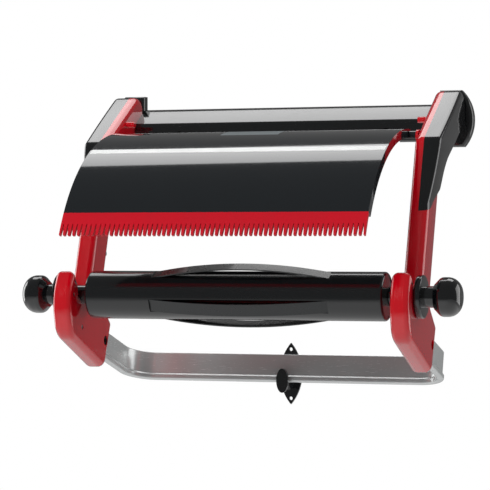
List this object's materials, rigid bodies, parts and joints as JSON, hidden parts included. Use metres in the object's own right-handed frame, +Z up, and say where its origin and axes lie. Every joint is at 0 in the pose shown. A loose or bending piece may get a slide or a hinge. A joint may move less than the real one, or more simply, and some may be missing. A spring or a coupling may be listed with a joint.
{
  "type": "paper roll wall stand",
  "caption": "Wall stand for a wide paper roll: side brackets, a lift-out sprung spindle, a hinged smoked cover with a serrated tear bar and a rear support band.",
  "frame": {"origin": "middle of the wall rail's back face, on the wall plane", "axes": "+X to the right seen from the front, +Y into the wall, +Z up"},
  "size_m": [0.641, 0.3794, 0.4655],
  "materials": {
    "red_plastic": "glossy moulded",
    "black_plastic": "glossy moulded",
    "smoked_plastic": "smoked, near opaque",
    "white_plastic": "inlaid stripe",
    "badge_foil": "bare silver-grey plate",
    "aluminium": "satin",
    "black_steel": "blackened",
    "steel": "zinc plated"
  },
  "bodies": {
    "frame": {"band_bolt_left": "black_steel", "band_bolt_right": "black_steel", "bracket_cap_left": "black_plastic", "bracket_cap_right": "black_plastic", "bracket_inner_left": "red_plastic", "bracket_inner_right": "red_plastic", "bracket_outer_left": "red_plastic", "bracket_outer_right": "red_plastic", "foot_screws_left": "steel", "foot_screws_right": "steel", "hinge_pin_left": "steel", "hinge_pin_right": "steel", "shell_screws_left": "steel", "shell_screws_right": "steel", "support_band": "aluminium", "wall_foot_left": "black_plastic", "wall_foot_right": "black_plastic", "wall_hook": "black_plastic", "wall_rail": "black_plastic"},
    "cover": {"cover": "smoked_plastic", "cover_stripe": "white_plastic", "badge_plate": "badge_foil", "tear_bar": "red_plastic"},
    "spindle": {"spindle_rod": "steel", "knob_left": "black_plastic", "knob_right": "black_plastic", "collar_left": "black_plastic", "collar_right": "black_plastic"},
    "barrel": {"spindle_barrel": "black_plastic", "journal_left": "black_plastic", "journal_right": "black_plastic", "leaf_spring_bottom": "black_plastic", "leaf_spring_front": "black_plastic", "leaf_spring_rear": "black_plastic", "leaf_spring_top": "black_plastic"}
  },
  "joints": [
    {"name": "cover_hinge", "type": "hinge", "parent": "frame", "child": "cover", "pos_m": [0, -0.14, -0.026], "axis": [-1, 0, 0], "range_deg": [0, 80]},
    {"name": "spindle_lift", "type": "slide", "parent": "frame", "child": "spindle", "axis": [0, 0, 1], "range_m": [0, 0.06]},
    {"name": "barrel_spin", "type": "hinge", "parent": "spindle", "child": "barrel", "pos_m": [0, -0.258, -0.25], "axis": [1, 0, 0], "continuous": true}
  ]
}
